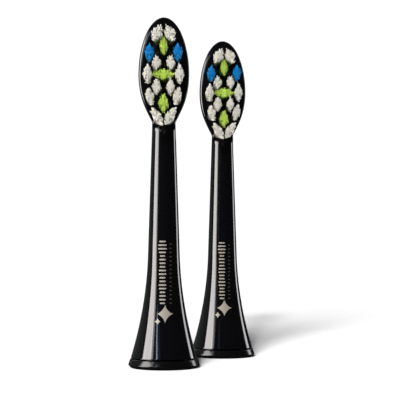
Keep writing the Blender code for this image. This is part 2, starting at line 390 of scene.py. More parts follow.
def grown(piece: bpy.types.Object, tree: bpy.types.NodeTree, identifiers: dict[str, str],
          values: dict[str, object]) -> bpy.types.Object:
    """Runs Geometry Nodes on an object once and keeps what they make as its plain mesh.

    Args:
        piece: the object.
        tree: the nodes.
        identifiers: the tree's input names to their identifiers.
        values: the tree's inputs by name.

    Returns:
        The object.
    """
    bpy.context.scene.collection.objects.link(piece)
    grow = piece.modifiers.new("grow", "NODES")
    grow.node_group = tree
    for key, value in values.items():
        grow[identifiers[key]] = value
    mesh = evaluated(piece)
    piece.modifiers.clear()
    piece.data = mesh
    mesh.name = piece.name
    return piece


def joined(name: str, meshes: list[bpy.types.Mesh]) -> bpy.types.Mesh:
    """Gathers meshes into one and removes them.

    Args:
        name: the new mesh's name.
        meshes: what it is made of.

    Returns:
        The new mesh.
    """
    bm = bmesh.new()
    for mesh in meshes:
        bm.from_mesh(mesh)
        bpy.data.meshes.remove(mesh)
    whole = bpy.data.meshes.new(name)
    bm.to_mesh(whole)
    bm.free()
    return whole


def smoothstep(start: float, end: float, value: float) -> float:
    """0 below start, 1 above end and an S-curve between."""
    share = min(1.0, max(0.0, (value - start) / (end - start)))
    return share * share * (3 - 2 * share)


# ---------------------------------------------------------------- finishes


class SurfaceGroups:
    """Shader node groups that several finishes share, each built once."""

    @staticmethod
    @cache
    def moulded_skin() -> bpy.types.NodeTree:
        """A moulding's slow waviness and fine rubbed patches.

        Returns:
            A group with the inputs Vector, Wave Size, Rub Size, Base and Rubbed, and the outputs
            Height and Roughness. Sizes are repeats in a metre.
        """
        tree = bpy.data.node_groups.new("moulded_skin", "ShaderNodeTree")
        new_interface(
            tree,
            {"Vector": "NodeSocketVector", "Wave Size": "NodeSocketFloat",
             "Rub Size": "NodeSocketFloat", "Base": "NodeSocketFloat",
             "Rubbed": "NodeSocketFloat"},
            {"Height": "NodeSocketFloat", "Roughness": "NodeSocketFloat"},
        )
        build = TreeBuilder(tree)
        given = build.add("NodeGroupInput").outputs
        wave = build.field("ShaderNodeTexNoise", "Fac", {
            "Vector": given["Vector"], "Scale": given["Wave Size"], "Detail": 2.0})
        rub = build.field("ShaderNodeTexNoise", "Fac", {
            "Vector": given["Vector"], "Scale": given["Rub Size"], "Detail": 6.0,
            "Roughness": 0.7})
        mask = build.field("ShaderNodeMapRange", 0, {
            "Value": rub, "From Min": 0.48, "From Max": 0.72, "To Min": given["Base"],
            "To Max": given["Rubbed"]})
        build.add("NodeGroupOutput", {"Height": wave, "Roughness": mask})
        return tree

    @staticmethod
    @cache
    def strand_tone() -> bpy.types.NodeTree:
        """A tone that changes at random from strand to strand, with painted shade towards the root
        and a painted highlight at the tip.

        Returns:
            A group with the inputs Strand, Along, Root, Middle and Tip, and the output Color.
        """
        tree = bpy.data.node_groups.new("strand_tone", "ShaderNodeTree")
        new_interface(
            tree,
            {"Strand": "NodeSocketFloat", "Along": "NodeSocketFloat",
             "Root Shade": "NodeSocketColor", "Middle": "NodeSocketColor", "Tip Highlight": "NodeSocketColor"},
            {"Color": "NodeSocketColor"},
        )
        build = TreeBuilder(tree)
        given = build.add("NodeGroupInput").outputs
        # Painted shade: the root colour darkens the strands deep in the tuft, where they shade one
        # another.
        rise = build.field("ShaderNodeMapRange", 0, {
            "Value": given["Along"], "From Min": 0.45, "From Max": 0.95})
        # Painted highlight: the tip colour lightens the last tenth of each strand, its cut end.
        crown = build.field("ShaderNodeMapRange", 0, {
            "Value": given["Along"], "From Min": 0.9, "From Max": 1.0})
        shaft = build.field("ShaderNodeMix", MIX_RESULT, {
            "Factor": rise, MIX_FIRST: given["Root Shade"], MIX_SECOND: given["Middle"]},
            data_type="RGBA")
        whole = build.field("ShaderNodeMix", MIX_RESULT, {
            "Factor": crown, MIX_FIRST: shaft, MIX_SECOND: given["Tip Highlight"]}, data_type="RGBA")
        light = build.field("ShaderNodeMapRange", 0, {
            "Value": given["Strand"], "To Min": 0.84, "To Max": 1.1})
        toned = build.field("ShaderNodeHueSaturation", "Color", {
            "Value": light, "Color": whole})
        build.add("NodeGroupOutput", {"Color": toned})
        return tree


def blank_material(name: str) -> tuple[bpy.types.Material, TreeBuilder, bpy.types.Node]:
    """Makes a plain new material.

    Args:
        name: the material's name.

    Returns:
        The material, its builder and its Principled BSDF.
    """
    made = bpy.data.materials.new(name)
    made.use_nodes = True
    return made, TreeBuilder(made.node_tree), made.node_tree.nodes["Principled BSDF"]


@dataclass(frozen=True)
class Finish:
    """A finish by name, from which its kinds make one material each."""

    name: str

    @cache
    def material(self) -> bpy.types.Material:
        """The finish as a material, built on first use."""
        made, build, shader = blank_material(self.name)
        self.dress(build, shader)
        return made

    def dress(self, build: TreeBuilder, shader: bpy.types.Node) -> None:
        """Wires the finish's nodes to its shader, in each kind's own way."""
        raise NotImplementedError(self.name)


@dataclass(frozen=True)
class MouldedPlastic(Finish):
    """An injection-moulded surface: its colour, its gloss and how much it has been handled.

    wave is the waviness's size and wave_depth its depth in metres; rub is the size of the rubbed
    patches, whose roughness is rubbed.
    """

    colour: tuple[float, float, float]
    roughness: float
    rubbed: float
    wave: float = 260.0
    wave_depth: float = 2.0e-6
    rub: float = 900.0
    metallic: float = 0.0
    specular: float = 0.5

    def dress(self, build: TreeBuilder, shader: bpy.types.Node) -> None:
        """Wires the moulding's waviness and rubbed patches.

        Args:
            build: the material's builder.
            shader: its Principled BSDF.
        """
        skin = build.add("ShaderNodeGroup", {
            "Vector": build.field("ShaderNodeTexCoord", "Object"), "Wave Size": self.wave,
            "Rub Size": self.rub, "Base": self.roughness, "Rubbed": self.rubbed,
        }, node_tree=SurfaceGroups.moulded_skin())
        bump = build.field("ShaderNodeBump", "Normal", {
            "Height": skin.outputs["Height"], "Distance": self.wave_depth})
        build.wire(shader, {
            "Normal": bump, "Roughness": skin.outputs["Roughness"],
            "Base Color": (*self.colour, 1), "Metallic": self.metallic,
            "Specular IOR Level": self.specular,
        })


@dataclass(frozen=True)
class DrawnMetal(Finish):
    """Metal drawn into strip or wire, with a fine grain along its length.

    grain is the grain's repeats in a metre and grain_depth its depth in metres.
    """

    colour: tuple[float, float, float]
    roughness: float = 0.28
    grain: tuple[float, float, float] = (30000.0, 30000.0, 600.0)
    grain_depth: float = 2e-6

    def dress(self, build: TreeBuilder, shader: bpy.types.Node) -> None:
        """Wires the drawn grain.

        Args:
            build: the material's builder.
            shader: its Principled BSDF.
        """
        stretched = build.field("ShaderNodeMapping", 0, {
            "Vector": build.field("ShaderNodeTexCoord", "Object"), "Scale": self.grain})
        lines = build.field("ShaderNodeTexNoise", "Fac", {
            "Vector": stretched, "Scale": 1.0, "Detail": 3.0})
        rough = build.field("ShaderNodeMapRange", 0, {
            "Value": lines, "To Min": self.roughness * 0.7, "To Max": self.roughness * 1.5})
        bump = build.field("ShaderNodeBump", "Normal", {
            "Height": lines, "Distance": self.grain_depth})
        build.wire(shader, {
            "Roughness": rough, "Normal": bump, "Base Color": (*self.colour, 1), "Metallic": 1.0})


@dataclass(frozen=True)
class BristleNylon(Finish):
    """Extruded nylon filament. root is painted shade deep in the tuft, middle the filament's own
    colour and tip a painted highlight on its rounded ends.
    """

    root: tuple[float, float, float]
    middle: tuple[float, float, float]
    tip: tuple[float, float, float]
    roughness: float = 0.42
    specular: float = 0.4

    def dress(self, build: TreeBuilder, shader: bpy.types.Node) -> None:
        """Wires the tones that the tufts' strands carry, with their painted shade and painted
        highlight.

        Args:
            build: the material's builder.
            shader: its Principled BSDF.
        """
        tone = build.field("ShaderNodeGroup", "Color", {
            "Strand": build.field("ShaderNodeAttribute", "Fac", attribute_name="strand"),
            "Along": build.field("ShaderNodeAttribute", "Fac", attribute_name="along"),
            "Root Shade": (*self.root, 1), "Middle": (*self.middle, 1), "Tip Highlight": (*self.tip, 1),
        }, node_tree=SurfaceGroups.strand_tone())
        build.wire(shader, {
            "Base Color": tone, "Roughness": self.roughness, "Specular IOR Level": self.specular})


GLOSS_BLACK = MouldedPlastic("gloss_black_moulding", (0.0016, 0.0015, 0.0019), 0.075, 0.105)
RING_BLACK = MouldedPlastic("ring_black_moulding", (0.0022, 0.0021, 0.0022), 0.16, 0.20,
                            specular=0.32)
SOCKET_WHITE = MouldedPlastic("socket_acetal", (0.72, 0.72, 0.69), 0.36, 0.48, wave_depth=4e-6)
INK_SILVER = MouldedPlastic("silver_print_ink", (0.32, 0.29, 0.245), 0.42, 0.55, wave=2500.0,
                            metallic=0.35)
INK_FAINT = MouldedPlastic("faint_print_ink", (0.055, 0.05, 0.043), 0.42, 0.55, wave=2500.0,
                           metallic=0.35)
SPRING_STEEL = DrawnMetal("spring_steel_leaf", (0.62, 0.61, 0.59))
ANCHOR_BRASS = DrawnMetal("anchor_wire_brass", (0.78, 0.58, 0.28), 0.22)
# Bristle colours as root, middle and tip: the root is painted shade, the tip a painted highlight,
# the middle the nylon's own colour.
NYLONS = {
    BristleColour.WHITE: BristleNylon(
        "bristle_nylon_white", (0.13, 0.12, 0.10), (0.76, 0.73, 0.65), (0.84, 0.82, 0.75)),
    BristleColour.GREEN: BristleNylon(
        "bristle_nylon_green", (0.06, 0.10, 0.01), (0.48, 0.67, 0.10), (0.60, 0.79, 0.14)),
    BristleColour.BLUE: BristleNylon(
        "bristle_nylon_blue", (0.001, 0.03, 0.08), (0.003, 0.22, 0.52), (0.005, 0.31, 0.72)),
}


# ---------------------------------------------------------------- the heads


@dataclass(frozen=True)
class Place:
    """Where one head stands and how large it is, as the frame has it."""

    side: Side
    axis: Vector
    height: float
    foot_height: float
    ring_radius: float
    ring_top: float

    @classmethod
    def read(cls, side: Side) -> "Place":
        """Measures a head's place in the frame.

        Args:
            side: which head.

        Returns:
            Its place, in millimetres apart from the axis.
        """
        low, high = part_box(f"{side.value}_foot_ring")
        body_low, body_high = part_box(f"{side.value}_brush_body")
        return cls(
            side=side,
            axis=Vector(((low.x + high.x) / 2, (low.y + high.y) / 2, 0)),
            height=round(body_high.z / MM, 1),
            foot_height=body_low.z / MM,
            ring_radius=(high.x - low.x) / 2 / MM,
            ring_top=high.z / MM,
        )

    def name(self, part: str) -> str:
        """A part's name on this head."""
        return f"{self.side.value}_{part}"

    def points(self, local: np.ndarray) -> np.ndarray:
        """Turns millimetres from the head's axis into metres in the frame."""
        return np.asarray(local) * MM + np.array(self.axis)

    def local(self, point: Vector) -> Vector:
        """Turns metres in the frame into millimetres from the head's axis."""
        return (point - self.axis) / MM


@dataclass(frozen=True)
class TuftRow:
    """A row of one tuft on the axis or a mirrored pair: the leaf shape of their cut tips."""

    pair: bool
    colour: BristleColour
    wide: float
    tall: float
    lean: float = 0.0


TUFT_ROWS = (
    TuftRow(True, BristleColour.WHITE, 2.47, 3.90, 26),
    TuftRow(False, BristleColour.GREEN, 1.83, 4.18),
    TuftRow(True, BristleColour.BLUE, 1.92, 3.97),
    TuftRow(True, BristleColour.WHITE, 1.98, 3.29),
    TuftRow(True, BristleColour.WHITE, 2.01, 4.59),
    TuftRow(False, BristleColour.GREEN, 5.00, 2.36),
    TuftRow(True, BristleColour.WHITE, 1.89, 3.63),
    TuftRow(True, BristleColour.WHITE, 1.83, 4.38, -14),
    TuftRow(False, BristleColour.GREEN, 2.20, 4.38),
    TuftRow(True, BristleColour.WHITE, 2.07, 4.86, -33),
)


@dataclass(frozen=True)
class Tuft:
    """One tuft in its place: root and tip in metres, the tip's leaf in millimetres."""

    node: str
    number: int
    row: TuftRow
    lean: float
    hole: Vector
    root: float
    tip: float


def placed_tufts(place: Place) -> list[Tuft]:
    """Finds every tuft of a head in the frame.

    Args:
        place: the head's place.

    Returns:
        The tufts from the plate's tip down.
    """
    tufts = []
    for row in TUFT_ROWS:
        for sign in (-1, 1) if row.pair else (1,):
            number = len(tufts) + 1
            node = place.name(f"tuft_{number:02d}_{row.colour.value}")
            low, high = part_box(node)
            middle = (low + high) / 2
            tufts.append(Tuft(node, number, row, sign * row.lean, middle, high.y, low.y))
    return tufts


@dataclass
class BrushBody:
    """The gloss black moulding: a flared hollow foot, a slim neck and an oval plate with a blind
    hole for each tuft.

    A section is first measured at samples places, which crowding draws towards its two sides.
    """

    place: Place
    plate_half_width: float = 6.1
    plate_upper: float = 13.7
    plate_lower: float = 11.5
    plate_front: float = 2.4
    plate_back: float = 2.2
    neck_radius: float = 2.8
    waist_radius: float = 3.83
    waist_height: float = 27.0
    ring_overhang: float = 0.65
    foot_edge: float = 0.25
    neck_blend: float = 2.2
    step_height: float = 56.5
    step_start: float = 1.6
    front_step: float = 2.0
    back_step: float = 12.0
    edge_power: float = 8.0
    back_power: float = 3.0
    foot_wall: float = 1.7
    top_wall: float = 1.0
    groove_depth: float = 0.38
    groove_height: float = 4.3
    groove_lip: float = 0.3
    collar_entry: float = 5.5
    recess_top: float = 12.7
    bore_radius: float = 2.95
    bore_top: float = 29.3
    hole_radius: float = 0.95
    hole_depth: float = 3.0
    hole_mouth: float = 0.1
    hole_sides: int = 40
    samples: int = 721
    crowding: float = 0.42
    sides: int = 128

    @property
    def plate_height(self) -> float:
        """Height of the plate's widest place."""
        return self.place.height - self.plate_upper

    @property
    def lowest_tuft(self) -> float:
        """Height of the lowest tufts, where the neck's taper ends."""
        return self.step_height + self.hole_radius + self.step_start

    @property
    def foot_radius(self) -> float:
        """Radius of the body's lower edge, which the ring stands proud of."""
        return self.place.ring_radius - self.ring_overhang

    def round_radius(self, height: float) -> float:
        """Outer radius of the round neck and flare.

        Args:
            height: height above the standing surface.

        Returns:
            A straight taper, and below the waist the flare's parabola on top of it.
        """
        slope = (self.waist_radius - self.neck_radius) / (self.lowest_tuft - self.waist_height)
        straight = self.neck_radius + slope * max(0.0, self.lowest_tuft - height)
        foot = self.place.foot_height
        flare = self.foot_radius - self.neck_radius - slope * (self.lowest_tuft - foot)
        share = max(0.0, (self.waist_height - height) / (self.waist_height - foot))
        return straight + flare * share**2

    def half_width(self, height: float) -> float:
        """Half the head's width, with the neck rounded into the plate.

        Args:
            height: height above the standing surface.

        Returns:
            The width from the axis to the side.
        """
        upper = height > self.plate_height
        share = (height - self.plate_height) / (self.plate_upper if upper else self.plate_lower)
        plate = self.plate_half_width * math.sqrt(max(0.0, 1 - share * share))
        if upper:
            return plate
        neck = self.round_radius(height)
        nearness = max(0.0, 1 - abs(neck - plate) / self.neck_blend)
        return max(neck, plate) + nearness**2 * self.neck_blend / 4

    def depth(self, height: float, across: np.ndarray, front: bool) -> np.ndarray:
        """How far the surface stands from the middle plane.

        Args:
            height: height above the standing surface.
            across: shares of the half width.
            front: the bristle side, or else the back.

        Returns:
            The distance at each share.
        """
        rise = max(0.0, (height - self.plate_height) / self.plate_upper)
        edge = np.sqrt(np.minimum(1.0, (1 - rise * rise) * across**2 + rise * rise))
        power, full = ((self.edge_power, self.plate_front) if front
                       else (self.back_power, self.plate_back))
        flat = full * np.maximum(0.0, 1 - edge**power) ** (1 / power)
        step = self.front_step if front else self.back_step
        plateness = smoothstep(self.step_height, self.step_height + step, height)
        around = self.round_radius(height) * np.sqrt(np.maximum(0.0, 1 - across**2))
        return around + (flat - around) * plateness

    def section(self, height: float) -> np.ndarray:
        """The outline at a height, with its points at equal distances along each half.

        Args:
            height: height above the standing surface.

        Returns:
            The points anticlockwise from +X.
        """
        width = self.half_width(height)
        turn = np.linspace(0, math.pi, self.samples)
        turn = turn - self.crowding * np.sin(2 * turn)
        half = self.sides // 2
        halves = []
        for front in (False, True):
            x = width * np.cos(turn)
            y = self.depth(height, np.cos(turn), front)
            length = np.r_[0, np.cumsum(np.hypot(np.diff(x), np.diff(y)))]
            even = np.linspace(0, length[-1], half + 1)
            halves.append(np.c_[np.interp(even, length, x), np.interp(even, length, y)])
        back, bristle_side = halves
        outline = np.r_[back[:-1], bristle_side[::-1][:-1] * (1, -1)]
        return np.c_[outline, np.full(len(outline), height)]

    def heights(self) -> np.ndarray:
        """Heights of the outer sections, closest where the outline turns most."""
        edge = self.place.foot_height + self.foot_edge
        blend = self.step_height + self.back_step
        arcs = np.radians(np.linspace(0, 90, 40))
        return np.r_[
            np.linspace(edge, self.waist_height, 44)[:-1],
            np.linspace(self.waist_height, self.step_height - 1, 24)[:-1],
            np.linspace(self.step_height - 1, blend, 60)[:-1],
            np.linspace(blend, self.plate_height, 8)[:-1],
            self.plate_height + self.plate_upper * np.sin(arcs),
        ]

    def inside(self) -> list[tuple[float, float]]:
        """Radius and height of the foot's inside, from the neck's blind end to the lower edge."""
        entry = self.foot_radius - self.foot_wall
        groove = entry + self.groove_depth
        foot = self.place.foot_height
        top = self.round_radius(self.recess_top) - self.top_wall
        taper = min(entry, self.round_radius(self.collar_entry) - self.top_wall)
        corners = filleted([
            (self.bore_radius, self.bore_top, 0),
            (self.bore_radius, self.recess_top, 0.15),
            (top, self.recess_top, 0.25),
            (taper, self.collar_entry, 0.3),
            (entry, self.groove_height + 2 * self.groove_lip, 0.1),
            (groove, self.groove_height + self.groove_lip, 0.12),
            (groove, self.groove_height - self.groove_lip, 0.12),
            (entry, self.groove_height - 2 * self.groove_lip, 0.1),
            (entry, foot, 0.12),
            (self.foot_radius, foot, self.foot_edge),
            (self.round_radius(foot + self.foot_edge), foot + self.foot_edge, 0),
        ])
        return [(0.0, self.bore_top), *corners[:-1]]

    def hole_cutter(self, tuft: Tuft) -> bpy.types.Mesh:
        """The space of one tuft hole, with a small chamfer at its mouth.

        Args:
            tuft: the tuft that the hole is for.

        Returns:
            A closed mesh.
        """
        centre = self.place.local(tuft.hole)
        face = -self.plate_front
        outline = [
            (self.hole_radius + 3 * self.hole_mouth, face - 2 * self.hole_mouth),
            (self.hole_radius, face + self.hole_mouth),
            (self.hole_radius, face + self.hole_depth),
        ]
        rings = turned(outline, self.hole_sides)
        flipped = np.stack([rings[..., 0] + centre.x, rings[..., 2], rings[..., 1] + centre.z], -1)
        return lofted("tuft_hole", self.place.points(flipped))

    def build(self, tufts: list[Tuft]) -> bpy.types.Object:
        """Builds the body and cuts its tuft holes.

        Args:
            tufts: the head's tufts.

        Returns:
            The finished piece.
        """
        outer = [self.section(height) for height in self.heights()]
        rings = np.concatenate([turned(self.inside(), self.sides), np.array(outer)])
        skin = lofted("body", self.place.points(rings))
        holes = joined("tuft_holes", [self.hole_cutter(tuft) for tuft in tufts])
        mesh = carved(skin, holes)
        name = self.place.name("body_moulding")
        return new_piece(name, mesh, GLOSS_BLACK.material())


@dataclass
class FootRing:
    """The ring that the head stands on, with a snap bead inside the foot and a pry notch."""

    place: Place
    band_height: float = 2.1
    band_taper: float = 0.5
    foot_inset: float = 0.7
    foot_rise: float = 0.65
    band_to_spigot: float = 2.5
    spigot_wall: float = 0.8
    spigot_lead: float = 0.25
    bead: float = 0.3
    bead_height: float = 4.3
    notch_width: float = 3.0
    notch_depth: float = 0.8
    notch_cut: float = 1.57
    notch_flare: float = 0.3
    notch_over: float = 0.9
    sides: int = 160

    def outline(self) -> list[tuple[float, float]]:
        """Radius and height round the ring's section."""
        band = self.place.ring_radius
        top = self.place.ring_top
        spigot = band - self.band_to_spigot
        inner = spigot - self.spigot_wall
        return filleted([
            (inner, 0.0, 0.25),
            (band - self.foot_inset, 0.0, 0.35),
            (band, self.foot_rise, 0.4),
            (band - self.band_taper, self.band_height, 0.15),
            (spigot, self.band_height, 0.08),
            (spigot, self.bead_height - self.bead, 0.08),
            (spigot + self.bead, self.bead_height, 0.1),
            (spigot, self.bead_height + self.bead, 0.08),
            (spigot - self.spigot_lead, top, 0.1),
            (inner, top, 0.1),
        ], closed=True)

    def build(self) -> bpy.types.Object:
        """Turns the ring and cuts its notch."""
        ring = lofted("ring", self.place.points(turned(self.outline(), self.sides)), closed=True)
        band, half = self.place.ring_radius, self.notch_width / 2
        low, high = self.band_height - self.notch_depth, self.band_height + self.notch_over
        side = filleted([
            (-half, low, 0.3),
            (half, low, 0.3),
            (half + self.notch_flare, high, 0.0),
            (-half - self.notch_flare, high, 0.0),
        ], closed=True)
        rings = prism(side, band - self.notch_cut, band + 1)
        notch = lofted("notch", self.place.points(rings))
        name = self.place.name("foot_ring_moulding")
        return new_piece(name, carved(ring, notch), RING_BLACK.material())


@dataclass
class DriveSocket:
    """The acetal insert in the neck: a flange, a D-shaped blind bore and the leaf's window."""

    place: Place
    flange_thickness: float = 1.4
    radius: float = 2.65
    bore: float = 1.85
    bore_flare: float = 0.35
    bore_mouth: float = 0.3
    flat: float = 1.4
    end_wall: float = 1.5
    slot_half_width: float = 1.15
    slot_gap: float = 0.25
    slot_fillet: float = 0.25
    sides: int = 96
    bore_sides: int = 64

    def build(self) -> bpy.types.Object:
        """Turns the insert and cuts its bore and window."""
        box = [self.place.local(c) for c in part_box(self.place.name("drive_socket"))]
        low, high = box[0].z, box[1].z
        flange = box[1].x
        shoulder = low + self.flange_thickness
        outline = filleted([
            (0.0, low, 0),
            (flange, low, 0.15),
            (flange, shoulder, 0.15),
            (self.radius, shoulder, 0.12),
            (self.radius, high, 0.3),
            (0.0, high, 0),
        ])
        insert = lofted("insert", self.place.points(turned(outline, self.sides)))
        top = high - self.end_wall
        bore = turned([
            (self.bore + self.bore_flare, low - 0.1),
            (self.bore, low + self.bore_mouth),
            (self.bore, top),
        ], self.bore_sides)
        bore[..., 1] = np.minimum(bore[..., 1], self.flat)
        shaft_bore = lofted("shaft_bore", self.place.points(bore))
        half, sill = self.slot_half_width, shoulder + self.slot_gap
        corners = ((-half, sill), (half, sill), (half, top), (-half, top))
        window = filleted([(x, z, self.slot_fillet) for x, z in corners], closed=True)
        rings = prism(window, self.flat / 2, self.radius + 1)
        slot = lofted("window", self.place.points(rings))
        name = self.place.name("drive_socket_insert")
        return new_piece(name, carved(insert, shaft_bore, slot), SOCKET_WHITE.material())


@dataclass
class LatchSpring:
    """The bowed steel leaf that presses on the drive shaft's flat.

    corner is how far its ends' corners are drawn in, over a length of one part in corner_parts.
    """

    place: Place
    thickness: float = 0.25
    bow: float = 0.8
    corner: float = 0.5
    corner_parts: float = 18.0
    edge: float = 0.06
    steps: int = 60

    def build(self) -> bpy.types.Object:
        """Bends the leaf between the ends that the frame gives it."""
        low, high = (self.place.local(c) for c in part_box(self.place.name("latch_spring")))
        front = high.y - self.thickness
        half = high.x
        rings = []
        for k in range(self.steps + 1):
            share = k / self.steps
            y = front - self.bow * math.sin(math.pi * share) ** 2
            z = high.z + (low.z - high.z) * share
            drawn = max(0.0, 1 - min(share, 1 - share) * self.corner_parts) ** 2
            side, back = half - self.corner * drawn, y + self.thickness
            corners = ((side, y), (side, back), (-side, back), (-side, y))
            section = filleted([(*at, self.edge) for at in corners], closed=True, steps=2)
            rings.append([(x, depth, z) for x, depth in section])
        leaf = lofted("leaf", self.place.points(np.array(rings)))
        return new_piece(self.place.name("latch_spring_leaf"), leaf, SPRING_STEEL.material())


class TuftTree:
    """Geometry Nodes that grow one tuft: strands that leave a round hole side by side and splay
    into a leaf-shaped crown with rounded, slightly uneven ends."""

    STEPS = 9

    def __init__(self) -> None:
        """Builds the tree."""
        self.tree = bpy.data.node_groups.new("bristle_tuft", "GeometryNodeTree")
        self.sockets = new_interface(
            self.tree,
            {"Strands": "NodeSocketInt", "Strand Radius": "NodeSocketFloat",
             "Hole Radius": "NodeSocketFloat", "Wide": "NodeSocketFloat",
             "Tall": "NodeSocketFloat", "Leaf Power": "NodeSocketFloat",
             "Lean": "NodeSocketFloat", "Buried": "NodeSocketFloat",
             "Length": "NodeSocketFloat", "Crown": "NodeSocketFloat", "Fray": "NodeSocketFloat",
             "Start": "NodeSocketVector", "Seed": "NodeSocketInt",
             "Finish": "NodeSocketMaterial"},
            {"Geometry": "NodeSocketGeometry"},
        )
        self.build = TreeBuilder(self.tree)
        given = self.build.add("NodeGroupInput").outputs
        self.given = {name: Field(self.tree, given[name]) for name in self.sockets}
        self._grow()

    def _random(self, strand: Field, low: float, high: float, salt: int) -> Field:
        """A number that each strand draws for itself.

        Args:
            strand: the strand's number.
            low: the lowest draw.
            high: the highest draw.
            salt: tells this draw from the others.

        Returns:
            The draw.
        """
        return self.build.field(
            "FunctionNodeRandomValue", 1,
            {2: low, 3: high, "ID": strand, "Seed": self.given["Seed"] * 16.0 + float(salt)},
            data_type="FLOAT")

    def _leaf(self, cosine: Field, power: Field, reach: Field) -> Field:
        """One coordinate of the leaf: a superellipse's, which keeps the cosine's sign."""
        return cosine.math("SIGN") * (cosine.math("ABSOLUTE") ** power) * reach

    def _grow(self) -> None:
        """Lays the nodes from the strands' points to the finished mesh."""
        build, given, steps = self.build, self.given, float(self.STEPS)
        index = build.field("GeometryNodeInputIndex")
        strand = (index / steps).math("FLOOR")
        step = index - strand * steps
        count = given["Strands"]
        spread = ((strand + 0.5) / count).math("SQRT")
        turn = strand * GOLDEN_ANGLE + self._random(strand, -0.25, 0.25, 1)
        cosine, sine = turn.math("COSINE"), turn.math("SINE")

        # Distance from the cut end grows slowly at first, so that the steps round the end.
        whole = given["Buried"] + given["Length"]
        from_tip = ((step / (steps - 1.0)) * -1.0 + 1.0) ** 3.0
        down = from_tip * whole
        splay = ((whole - down - given["Buried"]) / given["Length"]).math("MAXIMUM", 0.0)

        power = (given["Leaf Power"] ** -1.0) * 2.0
        half = spread * 0.5
        fray = given["Fray"] * (spread**3.0)
        leaf_x = self._leaf(cosine, power, half * given["Wide"]) + fray * self._random(
            strand, -1.0, 1.0, 2)
        leaf_z = self._leaf(sine, power, half * given["Tall"]) + fray * self._random(
            strand, -1.8, 1.8, 3)
        lean_cos, lean_sin = (given["Lean"].math(kind) for kind in ("COSINE", "SINE"))
        tip_x = leaf_x * lean_cos - leaf_z * lean_sin
        tip_z = leaf_x * lean_sin + leaf_z * lean_cos
        root_reach = spread * (given["Hole Radius"] - given["Strand Radius"])
        root_x, root_z = root_reach * cosine, root_reach * sine
        x = root_x + (tip_x - root_x) * splay
        z = root_z + (tip_z - root_z) * splay
        uneven = given["Crown"] * (spread**2.0 + self._random(strand, -0.5, 0.5, 4))
        y = whole * -1.0 + down + uneven * splay

        offset = build.add("ShaderNodeCombineXYZ", {"X": x, "Y": y, "Z": z})
        position = build.add("ShaderNodeVectorMath", {
            0: given["Start"], 1: offset.outputs[0]}, operation="ADD")
        total = count * steps
        points = build.add("GeometryNodePoints", {
            "Count": total, "Position": position.outputs[0]}).outputs[0]
        radius = given["Strand Radius"]
        sunk = ((radius - down) / radius).math("MAXIMUM", 0.0)
        rounding = (sunk * sunk * -1.0 + 1.0).math("MAXIMUM", 0.06).math("SQRT")
        for name, value in (
            ("along", from_tip * -1.0 + 1.0),
            ("strand", self._random(strand, 0.0, 1.0, 5)),
            ("thickness", rounding * radius),
        ):
            points = build.add("GeometryNodeStoreNamedAttribute", {
                "Geometry": points, "Name": name, "Value": value}, data_type="FLOAT",
                domain="POINT").outputs[0]
        curves = build.add("GeometryNodePointsToCurves", {
            "Points": points, "Curve Group ID": strand, "Weight": step}).outputs[0]
        thickness = build.field("GeometryNodeInputNamedAttribute", 0, {"Name": "thickness"},
                                data_type="FLOAT")
        circle = build.add("GeometryNodeCurvePrimitiveCircle", {
            "Resolution": 6, "Radius": 1.0}).outputs[0]
        mesh = build.add("GeometryNodeCurveToMesh", {
            "Curve": curves, "Profile Curve": circle, "Scale": thickness,
            "Fill Caps": True}).outputs[0]
        rounded = build.add("GeometryNodeSetShadeSmooth", {"Geometry": mesh}).outputs[0]
        real = build.add("GeometryNodeRealizeInstances", {"Geometry": rounded}).outputs[0]
        done = build.add("GeometryNodeSetMaterial", {
            "Geometry": real, "Material": given["Finish"]}).outputs[0]
        build.add("NodeGroupOutput", {"Geometry": done})

    def piece(self, name: str, values: dict[str, object]) -> bpy.types.Object:
        """Grows a tuft and turns it into a plain mesh.

        Args:
            name: the piece's name.
            values: the tree's inputs by name.

        Returns:
            The piece.
        """
        piece = bpy.data.objects.new(name, bpy.data.meshes.new(name))
        return grown(piece, self.tree, self.sockets, values)


@dataclass
class Bristles:
    """The tufts of one head. strands_per_area counts them on a square millimetre of the crown,
    and leaf_share is the leaf shape's share of its box."""

    place: Place
    tree: TuftTree
    strands_per_area: float = 24.0
    leaf_share: float = 0.8
    strand_radius: float = 0.088
    hole_radius: float = 0.88
    plate_front: float = 2.4
    leaf_power: float = 1.45
    crown: float = 0.2
    fray: float = 0.19

    def build(self, tuft: Tuft) -> bpy.types.Object:
        """Grows one tuft in its hole.

        Args:
            tuft: the tuft and its place.

        Returns:
            The piece.
        """
        face = self.place.axis.y - self.plate_front * MM
        wide, tall = tuft.row.wide, tuft.row.tall
        return self.tree.piece(f"{tuft.node}_bristles", {
            "Strands": round(self.strands_per_area * wide * tall * self.leaf_share),
            "Strand Radius": self.strand_radius * MM,
            "Hole Radius": self.hole_radius * MM,
            "Wide": wide * MM,
            "Tall": tall * MM,
            "Leaf Power": self.leaf_power,
            "Lean": math.radians(tuft.lean),
            "Buried": tuft.root - face,
            "Length": face - tuft.tip,
            "Crown": self.crown * MM,
            "Fray": self.fray * MM,
            "Start": Vector((tuft.hole.x, tuft.root, tuft.hole.z)),
            "Seed": tuft.number,
            "Finish": NYLONS[tuft.row.colour].material(),
        })


